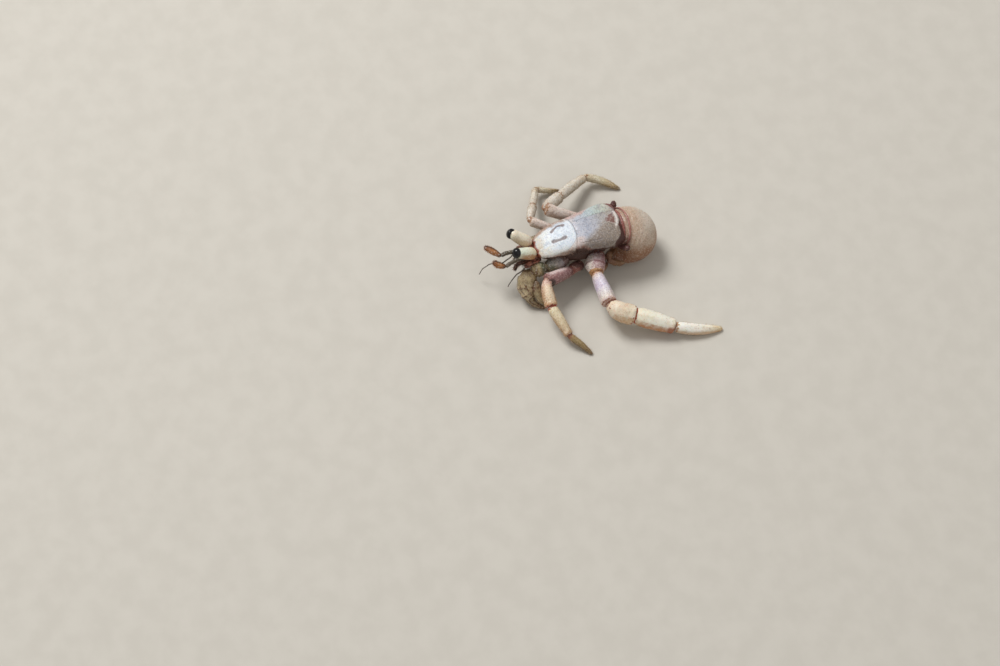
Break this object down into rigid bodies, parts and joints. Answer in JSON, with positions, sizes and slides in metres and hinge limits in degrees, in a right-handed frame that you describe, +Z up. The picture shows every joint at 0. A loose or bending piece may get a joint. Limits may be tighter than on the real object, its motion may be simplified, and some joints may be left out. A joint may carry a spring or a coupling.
{
  "type": "hermit crab model, out of its shell",
  "caption": "Life-size still model of a small land hermit crab without a shell: walking legs spread, claws folded in front, soft abdomen curled under behind.",
  "frame": {"origin": "the middle of the small flat under the abdomen, on the floor that the crab rests on", "axes": "+Z up, the head points to -Y, and the crab's left side is +X"},
  "size_m": [0.0282, 0.0276, 0.0076],
  "materials": {
    "shield": "thin calcified plate, pale blue-grey with cream edges and two brown marks, soft sheen",
    "carapace": "grey-lilac to beige plate with fine speckle, soft sheen",
    "underside": "reddish-brown membrane and sternal plates, satin",
    "bands": "red-brown hard bands and tail fan, satin",
    "flesh": "soft translucent tan-pink skin, slightly moist",
    "legs": "cream to pink limb shell with red-brown joints, satin",
    "claws": "tan limb shell mottled with brown, satin",
    "eyes": "black glossy corneas",
    "eye_stalks": "cream stalks, orange-brown below",
    "head_parts": "red-brown head segments and mouth limbs, satin",
    "feelers": "dark olive-brown feelers with orange clubs"
  },
  "bodies": {
    "root": {"shield": "shield", "carapace_heart": "carapace", "carapace_gill_left": "carapace", "carapace_gill_right": "carapace", "thorax": "underside", "leg_3_left_dactyl": "legs", "leg_3_left_propodus": "legs", "leg_3_left_carpus": "legs", "leg_3_left_merus": "legs", "leg_3_left_ischium": "legs", "leg_3_right_dactyl": "legs", "leg_3_right_propodus": "legs", "leg_3_right_carpus": "legs", "leg_3_right_merus": "legs", "leg_3_right_ischium": "legs", "leg_2_left_dactyl": "legs", "leg_2_left_propodus": "legs", "leg_2_left_carpus": "legs", "leg_2_left_merus": "legs", "leg_2_left_ischium": "legs", "leg_2_right_dactyl": "legs", "leg_2_right_propodus": "legs", "leg_2_right_carpus": "legs", "leg_2_right_merus": "legs", "leg_2_right_ischium": "legs", "claw_left_dactyl": "claws", "claw_left_palm": "claws", "claw_left_carpus": "claws", "claw_left_merus": "claws", "claw_right_dactyl": "claws", "claw_right_palm": "claws", "claw_right_carpus": "claws", "claw_right_merus": "claws", "eye_segment": "head_parts", "eye_left": "eyes", "eye_stalk_left": "eye_stalks", "eye_right": "eyes", "eye_stalk_right": "eye_stalks", "antennule_club_left": "feelers", "antennule_stalk_left": "feelers", "antennule_club_right": "feelers", "antennule_stalk_right": "feelers", "antenna_left": "feelers", "antenna_right": "feelers", "antenna_base_left": "head_parts", "antenna_base_right": "head_parts", "mouth_limb_left": "head_parts", "mouth_limb_right": "head_parts", "leg_5_right": "legs", "leg_4_right": "legs", "leg_5_left": "legs", "leg_4_left": "legs", "tergite_1": "bands", "tergite_2": "bands", "telson": "bands", "uropod_left": "bands", "uropod_right": "bands", "abdomen_front": "flesh", "abdomen_middle": "flesh", "abdomen_rear": "flesh"}
  },
  "joints": []
}
